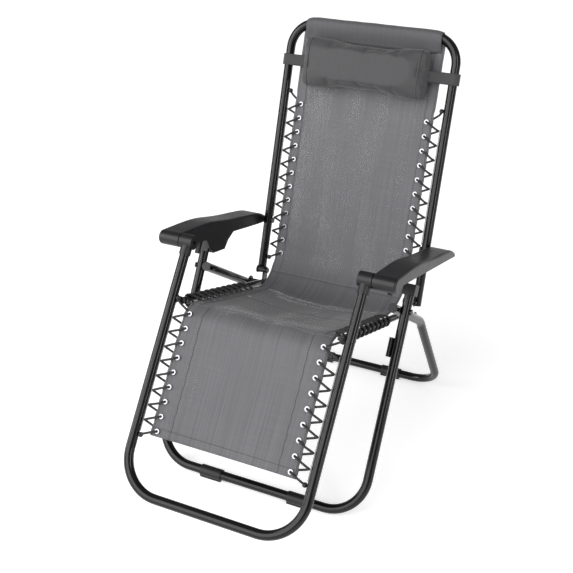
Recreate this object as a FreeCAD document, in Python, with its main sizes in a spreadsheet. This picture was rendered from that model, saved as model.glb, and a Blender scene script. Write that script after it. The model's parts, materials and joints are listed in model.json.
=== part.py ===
import FreeCAD, Part
import math
import os
from FreeCAD import Placement, Rotation, Vector
import Sketcher

# Zero gravity recliner, upright. Millimetres, +Z up, the sitter faces -Y.
# The origin is on the floor, under the middle of the chair's box.
# Two crossed U legs carry a parallelogram: seat rails, back frame, armrests and footrest frame.
# Every tube is drawn in its own frame: local Z runs along the tube and local -Y faces the sitter.

SIZES = {
    # tubes
    "tube_radius": 12.5, "tube_bore": 11.3, "rail_radius": 9, "rail_bore": 7.8, "post_radius": 7,
    # half widths between tube centres
    "front_leg_x": 300, "rear_leg_x": 272, "frame_x": 246, "rail_x": 222, "post_x": 280.5,
    # side profile points
    "front_foot_y": -233, "front_foot_z": 15.5, "front_top_y": 54.9, "front_top_z": 548,
    "leg_pivot_y": 23.56, "leg_pivot_z": 490,
    "rear_knee_y": 243, "rear_knee_z": 352, "rear_foot_y": 487, "rear_foot_z": 15.5,
    "seat_pivot_y": 235, "seat_pivot_z": 364,
    "rail_front_y": -203, "rail_front_z": 502, "rail_rear_y": 277, "rail_rear_z": 352,
    "foot_bar_y": -494, "foot_bar_z": 103, "calf_pivot_y": -193, "calf_pivot_z": 498,
    "back_end_y": 285, "back_end_z": 378, "back_bar_y": 491, "back_bar_z": 1085,
    "back_pivot_y": 263, "back_pivot_z": 394,
    "arm_rise_y": 66, "arm_rise_z": 134,
    "post_low_y": -34, "post_low_z": 382, "post_high_y": -12, "post_high_z": 424,
    # bends, measured to the tube's centre
    "front_bend": 100, "rear_bend": 90, "knee_bend": 80, "calf_bend": 105, "back_bend": 75,
    "rear_leg_tail": 22,
    # feet
    "sleeve_radius": 15.5, "sleeve_half_flat": 12, "sleeve_length": 62,
    "front_sleeve_x": 130, "rear_sleeve_x": 115,
    # bolts, spacers and plates, as distances from the middle plane
    "bolt_radius": 4, "bolt_clearance": 4.4, "head_radius": 7.5, "spacer_radius": 8,
    "plate_half_height": 11,
    "bolt_head_in": 207.5, "rail_face_in": 212.8, "rail_face_out": 231.3,
    "frame_plate_in": 244.5, "frame_plate_out": 247.5, "frame_bolt_out": 251.5,
    "tab_in": 219, "tab_out": 225, "tab_bolt_in": 213, "tab_face_in": 218.7, "tab_face_out": 225.3,
    "leg_plate_in": 256.5, "leg_plate_out": 259.5, "leg_plate_radius": 15,
    "leg_bolt_in": 254, "leg_bolt_out": 317, "leg_head": 4.5,
    "leg_washer_in": 284.8, "leg_washer_out": 287.2,
    "arm_bolt_in": 229, "arm_bolt_head": 4, "arm_spacer_in": 258.8, "arm_spacer_out": 261.7,
    "arm_bolt_out": 276, "arm_nut_in": 269, "seat_spacer_out": 256.2, "frame_spacer_out": 244.2,
    # plugs and lock
    "plug_depth": 14, "plug_cap": 2.5, "lock_half_width": 16.5, "lock_half_depth": 16,
    "lock_drop": 24, "lock_rise": 5,
    # armrests, in a frame that starts at the front roll and runs back along the pivot line
    "arm_in": 262, "arm_out": 326, "arm_channel_in": 268, "arm_channel_out": 320,
    "arm_roll_radius": 19, "arm_roll_in": 266, "arm_roof": -4, "arm_fillet": 7, "arm_tail": 22,
    "arm_roll_gap": 3, "arm_channel_from": 26, "arm_channel_past": 6, "arm_cut_depth": 90, "arm_outer_drop": 5,
    "arm_pin_radius": 5, "arm_pin_clearance": 5.4, "arm_pin_in": 232, "arm_pin_out": 318,
    "knuckle_in": 228, "knuckle_out": 264, "collar_radius": 15, "collar_length": 36,
    "lock_rail_from": 64, "lock_rail_to": 226, "lock_rail_half_width": 5, "lock_rail_thick": 2.5,
    "lever_along": 118, "lever_drop": 15, "lever_reach": 34, "lever_in": 270, "lever_out": 281,
    "lever_pin_radius": 2.5, "lever_hub_radius": 6, "lever_hole_gap": 0.2, "lever_pin_wall": 2,
    "lever_grip_radius": 4.5, "lever_lean": 12,
    "screw_radius": 3.5, "screw_length": 3, "screw_front": 262, "screw_rear": 412,
    # sling panels
    "sling_thick": 3, "back_half_width": 205, "seat_half_width": 198, "calf_half_width": 203,
    "back_from": 50, "sleeve_half_width": 165, "sling_sleeve_radius": 15.2, "sling_sleeve_bore": 12.6,
    "seat_from": 24, "seat_to": 350, "calf_from": 148, "calf_to": 477,
    # eyelets and lacing
    "eyelet_bore": 3.2, "eyelet_radius": 4.6, "eyelet_flange": 6.6, "eyelet_flange_thick": 0.8,
    "back_eyelet_x": 190, "seat_eyelet_x": 186, "calf_eyelet_x": 185,
    "back_eyelet_first": 66, "back_eyelet_pitch": 40, "seat_eyelet_first": 42,
    "seat_eyelet_pitch": 32, "calf_eyelet_first": 160, "calf_eyelet_pitch": 38,
    "cord_radius": 3, "cord_bend": 4, "cord_lift": 5.7,
    "frame_hook_x": 224.5, "seat_hook_x": 207, "wire_x": 231.4, "wire_radius": 1,
    "back_wire_from": 170, "calf_wire_from": 150, "nut_gap": 0.8,
    # pillow
    "pillow_half_width": 180, "pillow_height": 146, "pillow_thick": 58, "pillow_gap": 3.4,
    "pillow_middle": 627, "pillow_rim": 9, "strap_bore": 15.6, "strap_radius": 17, "strap_height": 32,
}
EYELETS = {"back": 12, "seat": 10, "calf": 9}

doc = FreeCAD.newDocument("zero_gravity_recliner")
sheet = doc.addObject("Spreadsheet::Sheet", "sizes")
for row, (alias, value) in enumerate(SIZES.items(), start=1):
    sheet.set("A%d" % row, alias)
    sheet.set("B%d" % row, str(value))
    sheet.setAlias("B%d" % row, alias)
doc.recompute()


def size(alias):
    """The sheet's value for a name."""
    return float(sheet.get(alias))


def point(name):
    """A named point of the side profile, on the middle plane."""
    return Vector(0, size(name + "_y"), size(name + "_z"))


def tube_frame(start, end):
    """Placement whose origin is start and whose local Z points at end."""
    run = end - start
    lean = math.degrees(math.atan2(run.y, run.z))
    return Placement(start, Rotation(Vector(1, 0, 0), -lean))


def inside(frame, place):
    """A place on the middle plane in a tube's own frame."""
    return frame.inverse().multVec(place)


# ---------------------------------------------------------------- derived places and tube frames

ARM_RISE = point("arm_rise")
CALF_TOP = point("calf_pivot") + ARM_RISE
ARM_REAR = point("back_pivot") + ARM_RISE
FRONT_LEG = tube_frame(point("front_foot"), point("front_top"))
CALF = tube_frame(point("foot_bar"), CALF_TOP)
BACK = tube_frame(point("back_end"), point("back_bar"))
RAIL = tube_frame(point("rail_front"), point("rail_rear"))
POST = tube_frame(point("post_low"), point("post_high"))
ARM = tube_frame(CALF_TOP, ARM_REAR)
FRONT_LEG_LENGTH = inside(FRONT_LEG, point("front_top")).z
CALF_LENGTH = inside(CALF, CALF_TOP).z
BACK_LENGTH = inside(BACK, point("back_bar")).z
RAIL_LENGTH = inside(RAIL, point("rail_rear")).z
ARM_LENGTH = inside(ARM, ARM_REAR).z
ALONG_X = Rotation(Vector(0, 1, 0), 90)
MIDDLE = Vector(0, 0, 0)
SIDEWAYS = Vector(1, 0, 0)


# ---------------------------------------------------------------- general builders

def origin_plane(body, role):
    """One of the body's own origin planes."""
    return next(item for item in body.Origin.OriginFeatures if item.Role == role)


def new_body(name, frame=Placement()):
    """An empty PartDesign body."""
    body = doc.addObject("PartDesign::Body", name)
    body.Label = name
    body.Placement = frame
    return body


def new_sketch(body, suffix, role, offset=0.0):
    """A sketch on one of the body's origin planes, lifted by offset."""
    sketch = body.newObject("Sketcher::SketchObject", body.Name + "_" + suffix)
    sketch.AttachmentSupport = [(origin_plane(body, role), "")]
    sketch.MapMode = "FlatFace"
    sketch.AttachmentOffset = Placement(Vector(0, 0, offset), Rotation())
    return sketch


def sketch_circle(sketch, centre, alias):
    """A circle whose radius is a cell of the sheet."""
    edge = sketch.addGeometry(Part.Circle(centre, Vector(0, 0, 1), size(alias)), False)
    radius = sketch.addConstraint(Sketcher.Constraint("Radius", edge, size(alias)))
    sketch.setExpression("Constraints[%d]" % radius, "sizes." + alias)


def bore_across(body, places, alias):
    """Holes along X right through the body, at (y, z) places of its own frame."""
    before = body.Shape.Volume
    sketch = new_sketch(body, "holes", "YZ_Plane")
    for place in places:
        sketch_circle(sketch, Vector(place.y, place.z, 0), alias)
    pocket = body.newObject("PartDesign::Pocket", body.Name + "_bores")
    pocket.Profile = sketch
    pocket.Type = "ThroughAll"
    pocket.Midplane = True
    doc.recompute()
    if not body.Shape.Volume < before:
        raise RuntimeError(body.Label + ": the bores cut nothing")


def u_frame(name, frame, half_alias, bend_alias, length):
    """A tube bent to a U in its local XZ plane: the bar lies on the origin and both legs rise."""
    half = size(half_alias)
    bend = size(bend_alias)
    body = new_body(name, frame)
    path = new_sketch(body, "path", "XZ_Plane")
    corner = half - bend
    right = path.addGeometry(Part.LineSegment(Vector(half, length, 0), Vector(half, bend, 0)), False)
    turn = Part.ArcOfCircle(Part.Circle(Vector(corner, bend, 0), Vector(0, 0, 1), bend), -math.pi / 2, 0)
    turn_right = path.addGeometry(turn, False)
    bar = path.addGeometry(Part.LineSegment(Vector(corner, 0, 0), Vector(-corner, 0, 0)), False)
    turn = Part.ArcOfCircle(
        Part.Circle(Vector(-corner, bend, 0), Vector(0, 0, 1), bend), -math.pi, -math.pi / 2)
    turn_left = path.addGeometry(turn, False)
    left = path.addGeometry(Part.LineSegment(Vector(-half, bend, 0), Vector(-half, length, 0)), False)
    for first, end, second, start in (
            (right, 2, turn_right, 2), (turn_right, 1, bar, 1), (bar, 2, turn_left, 2), (turn_left, 1, left, 1)):
        path.addConstraint(Sketcher.Constraint("Coincident", first, end, second, start))
    for turn_edge in (turn_right, turn_left):
        radius = path.addConstraint(Sketcher.Constraint("Radius", turn_edge, bend))
        path.setExpression("Constraints[%d]" % radius, "sizes." + bend_alias)
    ring = new_sketch(body, "section", "XY_Plane", length)
    sketch_circle(ring, Vector(half, 0, 0), "tube_radius")
    sketch_circle(ring, Vector(half, 0, 0), "tube_bore")
    pipe = body.newObject("PartDesign::AdditivePipe", name + "_pipe")
    pipe.Profile = ring
    pipe.Spine = (path, [])
    doc.recompute()
    return body


def rod(name, place, inner, outer, radius):
    """A cylinder along X between two distances of the sheet, on the +X side."""
    piece = doc.addObject("Part::Cylinder", name)
    piece.setExpression("Radius", "sizes." + radius)
    piece.setExpression("Height", "sizes.%s - sizes.%s" % (outer, inner))
    piece.Placement = Placement(Vector(size(inner), place.y, place.z), ALONG_X)
    return piece


def upright_rod(name, frame, half_alias, start, length, radius):
    """A cylinder along a tube frame's local Z, standing on the +X side."""
    piece = doc.addObject("Part::Cylinder", name)
    piece.setExpression("Radius", "sizes." + radius)
    piece.Height = length
    piece.Placement = frame.multiply(Placement(Vector(size(half_alias), 0, start), Rotation()))
    return piece


def joined(name, pieces):
    """Several overlapping shapes as one solid."""
    fused = doc.addObject("Part::MultiFuse", name)
    fused.Shapes = pieces
    return fused


def cut(name, base, tool):
    """Base with tool taken away."""
    result = doc.addObject("Part::Cut", name)
    result.Base = base
    result.Tool = tool
    return result


def both_sides(label, piece):
    """The piece and its mirror image across the middle plane, as one node of separate solids."""
    other = doc.addObject("Part::Mirroring", label + "_mirrored")
    other.Source = piece
    other.Normal = (1, 0, 0)
    group = doc.addObject("Part::Compound", label)
    group.Links = [piece, other]
    group.Label = label
    return group


def group_of(label, pieces):
    """Separate solids under one label."""
    group = doc.addObject("Part::Compound", label)
    group.Links = pieces
    group.Label = label
    return group


def mirrored(label, piece):
    """The mirror image of a piece as a node of its own."""
    other = doc.addObject("Part::Mirroring", label)
    other.Source = piece
    other.Normal = (1, 0, 0)
    other.Label = label
    return other


def shaped(label, shape, frame=Placement()):
    """A sub-part whose form is worked out in code."""
    piece = doc.addObject("Part::Feature", label)
    piece.Label = label
    piece.Shape = shape
    piece.Placement = frame
    return piece


def bolt(label, place, head_from, head_to, shank_to):
    """A pivot bolt on both sides: a head at the inner end and a plain shank."""
    head = rod(label + "_head", place, head_from, head_to, "head_radius")
    shank = rod(label + "_shank", place, head_from, shank_to, "bolt_radius")
    return both_sides(label, joined(label + "_one", [head, shank]))


def spacer(label, place, inner, outer, bore="bolt_radius"):
    """A nylon washer on a pivot bolt, on both sides."""
    outside = rod(label + "_outside", place, inner, outer, "spacer_radius")
    hole = rod(label + "_hole", place, inner, outer, bore)
    return both_sides(label, cut(label + "_one", outside, hole))


def weld_plate(label, frame, place, base, inner, outer):
    """Plates on both sides that stand on a tube's flank and end in a round eye at a pivot."""
    eye = inside(frame, place)
    half = size("plate_half_height")
    body = new_body(label + "_one", frame)
    sketch = new_sketch(body, "outline", "YZ_Plane", size(inner))
    low = eye.z - half
    high = eye.z + half
    outward = math.copysign(1, eye.y - base)
    bottom = sketch.addGeometry(Part.LineSegment(Vector(base, low, 0), Vector(eye.y, low, 0)), False)
    crown = Part.Arc(Vector(eye.y, low, 0), Vector(eye.y + outward * half, eye.z, 0), Vector(eye.y, high, 0))
    sketch.addGeometry(crown, False)
    sketch.addGeometry(Part.LineSegment(Vector(eye.y, high, 0), Vector(base, high, 0)), False)
    sketch.addGeometry(Part.LineSegment(Vector(base, high, 0), Vector(base, low, 0)), False)
    sketch.addConstraint(Sketcher.Constraint("Horizontal", bottom))
    sketch_circle(sketch, Vector(eye.y, eye.z, 0), "bolt_clearance")
    pad = body.newObject("PartDesign::Pad", body.Name + "_pad")
    pad.Profile = sketch
    pad.setExpression("Length", "sizes.%s - sizes.%s" % (outer, inner))
    doc.recompute()
    return both_sides(label, body)


def end_plugs(label, frame, half_alias, end, outward):
    """Plastic plugs in a pair of tube ends: a stem inside the bore and a thin cap outside."""
    depth = size("plug_depth")
    cap = size("plug_cap")
    stem_from = end - depth if outward > 0 else end
    cap_from = end if outward > 0 else end - cap
    stem = upright_rod(label + "_stem", frame, half_alias, stem_from, depth, "tube_bore")
    lid = upright_rod(label + "_lid", frame, half_alias, cap_from, cap, "tube_radius")
    return both_sides(label, joined(label + "_one", [stem, lid]))


def rounded_path(corners, bend):
    """Straight runs through the corners, joined by tangent arcs of radius bend."""
    edges = []
    start = corners[0]
    for before, corner, after in zip(corners, corners[1:], corners[2:]):
        arriving = (corner - before).normalize()
        leaving = (after - corner).normalize()
        turn = arriving.getAngle(leaving)
        reach = bend * math.tan(turn / 2)
        first = corner - arriving * reach
        last = corner + leaving * reach
        towards = (leaving - arriving).normalize()
        centre = corner + towards * (bend / math.cos(turn / 2))
        edges.append(Part.LineSegment(start, first).toShape())
        edges.append(Part.Arc(first, centre - towards * bend, last).toShape())
        start = last
    edges.append(Part.LineSegment(start, corners[-1]).toShape())
    return Part.Wire(edges)


def swept(path, radius):
    """A round bar of a radius along a path."""
    first = path.Edges[0]
    section = Part.Circle(first.valueAt(first.FirstParameter), first.tangentAt(first.FirstParameter), radius)
    return path.makePipeShell([Part.Wire(section.toShape())], True, True)


# ---------------------------------------------------------------- front legs

def foot_sleeves(label, foot, middle_alias):
    """Plastic sleeves round a floor bar, with a flat sole."""
    radius = size("sleeve_radius")
    middle = size(middle_alias)
    length = size("sleeve_length")
    round_part = doc.addObject("Part::Cylinder", label + "_round")
    round_part.setExpression("Radius", "sizes.sleeve_radius")
    round_part.setExpression("Height", "sizes.sleeve_length")
    round_part.Placement = Placement(Vector(middle - length / 2, foot.y, foot.z), ALONG_X)
    sole = doc.addObject("Part::Box", label + "_sole")
    sole.setExpression("Length", "sizes.sleeve_length")
    sole.setExpression("Width", "2 * sizes.sleeve_half_flat")
    sole.setExpression("Height", "sizes.sleeve_radius")
    sole.Placement = Placement(
        Vector(middle - length / 2, foot.y - size("sleeve_half_flat"), foot.z - radius), Rotation())
    bar = doc.addObject("Part::Cylinder", label + "_bar")
    bar.setExpression("Radius", "sizes.tube_radius")
    bar.setExpression("Height", "sizes.sleeve_length")
    bar.Placement = round_part.Placement
    return both_sides(label, cut(label + "_one", joined(label + "_block", [round_part, sole]), bar))


def build_front_legs():
    """The fixed leg frame with its feet, pivot bolts, lock blocks and stop posts."""
    legs = u_frame("front_leg_frame", FRONT_LEG, "front_leg_x", "front_bend", FRONT_LEG_LENGTH)
    bore_across(legs, [inside(FRONT_LEG, point("leg_pivot"))], "bolt_radius")
    foot_sleeves("front_foot_sleeves", point("front_foot"), "front_sleeve_x")
    end_plugs("leg_top_plugs", FRONT_LEG, "front_leg_x", FRONT_LEG_LENGTH, 1)
    pivot = point("leg_pivot")
    shank = rod("leg_pivot_shank", pivot, "leg_bolt_in", "leg_bolt_out", "bolt_radius")
    heads = []
    for name, start in (("inner", size("leg_bolt_in")), ("outer", size("leg_bolt_out") - size("leg_head"))):
        head = doc.addObject("Part::Cylinder", "leg_pivot_" + name)
        head.setExpression("Radius", "sizes.head_radius")
        head.setExpression("Height", "sizes.leg_head")
        head.Placement = Placement(Vector(start, pivot.y, pivot.z), ALONG_X)
        heads.append(head)
    both_sides("leg_pivot_bolts", joined("leg_pivot_one", [shank] + heads))
    spacer("leg_pivot_washers", pivot, "leg_washer_in", "leg_washer_out")
    build_lock_blocks()
    build_stop_posts()


def build_lock_blocks():
    """Blocks on the leg tops that clamp to the armrest rails when the lever is pressed."""
    width = size("lock_half_width")
    depth = size("lock_half_depth")
    block = doc.addObject("Part::Box", "lock_block_body")
    block.setExpression("Length", "2 * sizes.lock_half_width")
    block.setExpression("Width", "2 * sizes.lock_half_depth")
    block.setExpression("Height", "sizes.lock_drop + sizes.lock_rise")
    corner = Vector(size("front_leg_x") - width, -depth, FRONT_LEG_LENGTH - size("lock_drop"))
    block.Placement = FRONT_LEG.multiply(Placement(corner, Rotation()))
    tube_end = size("lock_drop") + size("plug_cap")
    socket = upright_rod("lock_block_socket", FRONT_LEG, "front_leg_x",
                         FRONT_LEG_LENGTH - size("lock_drop"), tube_end, "tube_radius")
    both_sides("lock_blocks", cut("lock_block_one", block, socket))


def build_stop_posts():
    """Short posts beside the front legs that stop the seat rail when the chair is upright."""
    length = inside(POST, point("post_high")).z
    post = upright_rod("stop_post_one", POST, "post_x", 0, length, "post_radius")
    both_sides("seat_stop_posts", post)
    cap = upright_rod("stop_cap_one", POST, "post_x", length, size("plug_cap"), "post_radius")
    both_sides("stop_post_caps", cap)


# ---------------------------------------------------------------- rear legs

def build_rear_legs():
    """The leg frame that folds about the leg pivot, bent at the knee and round the floor bar."""
    half = size("rear_leg_x")
    bend = size("rear_bend")
    pivot = point("leg_pivot")
    knee = point("rear_knee")
    foot = point("rear_foot")
    upper = (knee - pivot).normalize()
    tail = pivot - upper * size("rear_leg_tail")

    def side_corners(side):
        return [Vector(side * half, place.y, place.z) for place in (tail, knee)]

    lower = (foot - knee).normalize()
    turn_start = foot - lower * bend
    right = rounded_path(side_corners(1) + [Vector(half, turn_start.y, turn_start.z)], size("knee_bend"))
    left = rounded_path([Vector(-half, turn_start.y, turn_start.z)] + side_corners(-1)[::-1],
                        size("knee_bend"))
    corner_right = Vector(half - bend, foot.y, foot.z)
    corner_left = Vector(bend - half, foot.y, foot.z)
    diagonal = bend * (1 - math.sqrt(0.5))
    halfway = foot - lower * diagonal
    turn_right = Part.Arc(Vector(half, turn_start.y, turn_start.z),
                          Vector(half - diagonal, halfway.y, halfway.z), corner_right).toShape()
    turn_left = Part.Arc(corner_left, Vector(diagonal - half, halfway.y, halfway.z),
                         Vector(-half, turn_start.y, turn_start.z)).toShape()
    bar = Part.LineSegment(corner_right, corner_left).toShape()
    path = Part.Wire(right.Edges + [turn_right, bar, turn_left] + left.Edges)
    tube = swept(path, size("tube_radius")).cut(swept(path, size("tube_bore")))
    reach = 2 * (half + size("tube_radius"))
    start = Vector(-reach / 2, pivot.y, pivot.z)
    tube = tube.cut(Part.makeCylinder(size("bolt_clearance"), reach, start, SIDEWAYS))
    shaped("rear_leg_frame", tube)
    foot_sleeves("rear_foot_sleeves", foot, "rear_sleeve_x")
    end_plugs("rear_leg_plugs", tube_frame(pivot, knee), "rear_leg_x", -size("rear_leg_tail"), -1)
    place = point("seat_pivot")
    eye = rod("seat_plate_disc", place, "leg_plate_in", "leg_plate_out", "leg_plate_radius")
    hole = rod("seat_plate_hole", place, "leg_plate_in", "leg_plate_out", "bolt_clearance")
    both_sides("rear_leg_brackets", cut("seat_plate_one", eye, hole))


# ---------------------------------------------------------------- seat

def build_seat_rails():
    """The two straight seat rails with their caps, rear tabs and pivot holes."""
    for label, side in (("seat_rail_left", 1), ("seat_rail_right", -1)):
        body = new_body(label, RAIL)
        ring = new_sketch(body, "section", "XY_Plane")
        sketch_circle(ring, Vector(side * size("rail_x"), 0, 0), "rail_radius")
        sketch_circle(ring, Vector(side * size("rail_x"), 0, 0), "rail_bore")
        pad = body.newObject("PartDesign::Pad", label + "_pad")
        pad.Profile = ring
        pad.Length = RAIL_LENGTH
        doc.recompute()
        places = [inside(RAIL, point(name)) for name in ("seat_pivot", "calf_pivot")]
        bore_across(body, places, "bolt_clearance")
    front = upright_rod("rail_cap_front", RAIL, "rail_x", -size("plug_cap"), size("plug_cap"), "rail_radius")
    rear = upright_rod("rail_cap_rear", RAIL, "rail_x", RAIL_LENGTH, size("plug_cap"), "rail_radius")
    both_sides("rail_end_caps", group_of("rail_cap_pair", [front, rear]))
    weld_plate("seat_rear_tabs", RAIL, point("back_pivot"), -size("rail_radius"), "tab_in", "tab_out")


# ---------------------------------------------------------------- sling panels, eyelets and lacing

def eyelet_places(panel):
    """Distances along the tube of one side's eyelets."""
    first = size(panel + "_eyelet_first")
    pitch = size(panel + "_eyelet_pitch")
    return [first + pitch * index for index in range(EYELETS[panel])]


def panel_blank(label, frame, corners):
    """A flat fabric panel from its outline in the local XZ plane, as thick as the sling."""
    body = new_body(label, frame)
    outline = new_sketch(body, "outline", "XZ_Plane")
    for start, end in zip(corners, corners[1:] + corners[:1]):
        outline.addGeometry(Part.LineSegment(Vector(*start, 0), Vector(*end, 0)), False)
    pad = body.newObject("PartDesign::Pad", label + "_pad")
    pad.Profile = outline
    pad.Midplane = True
    pad.setExpression("Length", "sizes.sling_thick")
    doc.recompute()
    return body


def punch_eyelets(body, panel):
    """Round holes for the eyelets down both edges of a panel."""
    before = body.Shape.Volume
    holes = new_sketch(body, "eyelet_holes", "XZ_Plane")
    for along in eyelet_places(panel):
        for side in (1, -1):
            sketch_circle(holes, Vector(side * size(panel + "_eyelet_x"), along, 0), "eyelet_radius")
    pocket = body.newObject("PartDesign::Pocket", body.Name + "_eyelet_pocket")
    pocket.Profile = holes
    pocket.Type = "ThroughAll"
    pocket.Midplane = True
    doc.recompute()
    if not body.Shape.Volume < before:
        raise RuntimeError(body.Label + ": the eyelet holes cut nothing")


def eyelets(label, frame, panel):
    """Metal eyelets: a barrel through the fabric and a flange on each face."""
    half = size("sling_thick") / 2
    flange = size("eyelet_flange_thick")
    back = Vector(0, 1, 0)
    barrel = Part.makeCylinder(size("eyelet_radius"), 2 * half, Vector(0, -half, 0), back)
    for start in (-half - flange, half):
        barrel = barrel.fuse(Part.makeCylinder(size("eyelet_flange"), flange, Vector(0, start, 0), back))
    bore = Part.makeCylinder(size("eyelet_bore"), 4 * half, Vector(0, -2 * half, 0), back)
    ring = barrel.cut(bore).removeSplitter()
    rings = []
    for along in eyelet_places(panel):
        for side in (1, -1):
            copy = ring.copy()
            copy.translate(Vector(side * size(panel + "_eyelet_x"), 0, along))
            rings.append(copy)
    shaped(label, Part.makeCompound(rings), frame)


def lacing(panel, frame, hook_alias):
    """Elastic cord that zigzags from eyelet to hook down each side, in front of the fabric."""
    places = eyelet_places(panel)
    lift = -size("cord_lift")
    corners = [Vector(size(panel + "_eyelet_x"), lift, places[0])]
    for below, above in zip(places, places[1:]):
        corners.append(Vector(size(hook_alias), lift, (below + above) / 2))
        corners.append(Vector(size(panel + "_eyelet_x"), lift, above))
    cord = swept(rounded_path(corners, size("cord_bend")), size("cord_radius"))
    left = shaped(panel + "_lacing_left", cord, frame)
    mirrored(panel + "_lacing_right", left)


def lacing_wires(label, frame, start, end):
    """Steel wires along the inner flanks of a frame, which the cord hooks on."""
    wire = upright_rod(label + "_one", frame, "wire_x", start, end - start, "wire_radius")
    both_sides(label, wire)


def build_slings():
    """The three fabric panels with everything that ties them to the tubes."""
    wide = size("back_half_width")
    low = size("back_from")
    shoulder = BACK_LENGTH - size("back_bend")
    neck = size("sleeve_half_width")
    top = BACK_LENGTH - size("tube_radius")
    back = panel_blank("sling_back_panel", BACK, [
        (-wide, low), (wide, low), (wide, shoulder), (neck, top), (-neck, top), (-wide, shoulder)])
    punch_eyelets(back, "back")
    sleeve = doc.addObject("Part::Cylinder", "sling_sleeve_outside")
    sleeve.setExpression("Radius", "sizes.sling_sleeve_radius")
    sleeve.setExpression("Height", "2 * sizes.sleeve_half_width")
    bar = doc.addObject("Part::Cylinder", "sling_sleeve_inside")
    bar.setExpression("Radius", "sizes.sling_sleeve_bore")
    bar.setExpression("Height", "2 * sizes.sleeve_half_width")
    place = BACK.multiply(Placement(Vector(-neck, 0, BACK_LENGTH), ALONG_X))
    sleeve.Placement = place
    bar.Placement = place
    wrapped = cut("sling_back", joined("sling_back_solid", [back, sleeve]), bar)
    wrapped.Label = "sling_back"
    for name, frame, start, end in (
            ("seat", RAIL, "seat_from", "seat_to"), ("calf", CALF, "calf_from", "calf_to")):
        wide = size(name + "_half_width")
        corners = [(-wide, size(start)), (wide, size(start)), (wide, size(end)), (-wide, size(end))]
        punch_eyelets(panel_blank("sling_" + name, frame, corners), name)
    for name, frame, hook in (
            ("back", BACK, "frame_hook_x"), ("seat", RAIL, "seat_hook_x"), ("calf", CALF, "frame_hook_x")):
        eyelets(name + "_eyelets", frame, name)
        lacing(name, frame, hook)
    for name, frame in (("back", BACK), ("calf", CALF)):
        last_hook = eyelet_places(name)[-1] - size(name + "_eyelet_pitch") / 2
        lacing_wires(name + "_lacing_wires", frame, size(name + "_wire_from"), last_hook + size("cord_bend"))


# ---------------------------------------------------------------- back, footrest and their pivots

def upside_down(frame, length):
    """A tube frame turned end for end about X, so that its origin is at the far end."""
    return frame.multiply(Placement(Vector(0, 0, length), Rotation(Vector(1, 0, 0), 180)))


def build_back():
    """The back frame, its lower plugs and the plates that carry it on the seat tabs."""
    frame = upside_down(BACK, BACK_LENGTH)
    body = u_frame("back_frame", frame, "frame_x", "back_bend", BACK_LENGTH)
    bore_across(body, [inside(frame, ARM_REAR)], "bolt_clearance")
    end_plugs("back_frame_plugs", BACK, "frame_x", 0, -1)
    weld_plate("back_brackets", BACK, point("back_pivot"), -size("tube_radius"),
               "frame_plate_in", "frame_plate_out")


def build_footrest():
    """The footrest frame, its knuckles at the armrests and its plates at the seat rails."""
    u_frame("footrest_frame", CALF, "frame_x", "calf_bend",
            CALF_LENGTH - size("arm_roll_radius") + size("plug_cap"))
    weld_plate("footrest_brackets", CALF, point("calf_pivot"), size("tube_radius"),
               "frame_plate_in", "frame_plate_out")
    barrel = rod("knuckle_barrel", CALF_TOP, "knuckle_in", "knuckle_out", "arm_roll_radius")
    collar = upright_rod("knuckle_collar", CALF, "frame_x", CALF_LENGTH - size("collar_length"),
                         size("collar_length"), "collar_radius")
    socket_top = CALF_LENGTH - size("arm_roll_radius") + size("plug_cap")
    socket = upright_rod("knuckle_socket", CALF, "frame_x", 0, socket_top, "tube_radius")
    pin = rod("knuckle_pin_hole", CALF_TOP, "knuckle_in", "knuckle_out", "arm_pin_clearance")
    solid = joined("knuckle_solid", [barrel, collar])
    hollow = joined("knuckle_hollow", [socket, pin])
    both_sides("footrest_knuckles", cut("knuckle_one", solid, hollow))


def build_pivots():
    """Bolts and nylon spacers at the three kinds of pivot between the frames."""
    seat = point("seat_pivot")
    bolt("seat_pivot_bolts", seat, "bolt_head_in", "rail_face_in", "leg_plate_out")
    spacer("seat_pivot_spacers", seat, "rail_face_out", "seat_spacer_out")
    back = point("back_pivot")
    bolt("back_pivot_bolts", back, "tab_bolt_in", "tab_face_in", "frame_bolt_out")
    spacer("back_pivot_spacers", back, "tab_face_out", "frame_spacer_out")
    calf = point("calf_pivot")
    bolt("footrest_pivot_bolts", calf, "bolt_head_in", "rail_face_in", "frame_bolt_out")
    spacer("footrest_pivot_spacers", calf, "rail_face_out", "frame_spacer_out")
    shank = rod("arm_pivot_shank", ARM_REAR, "arm_bolt_in", "arm_bolt_out", "bolt_radius")
    heads = []
    for name, start in (("inner", "arm_bolt_in"), ("outer", "arm_nut_in")):
        head = doc.addObject("Part::Cylinder", "arm_pivot_" + name)
        head.setExpression("Radius", "sizes.head_radius")
        head.setExpression("Height", "sizes.arm_bolt_head")
        head.Placement = Placement(Vector(size(start), ARM_REAR.y, ARM_REAR.z), ALONG_X)
        heads.append(head)
    both_sides("armrest_pivot_bolts", joined("arm_pivot_one", [shank] + heads))
    spacer("armrest_pivot_spacers", ARM_REAR, "arm_spacer_in", "arm_spacer_out")


# ---------------------------------------------------------------- armrests

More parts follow.
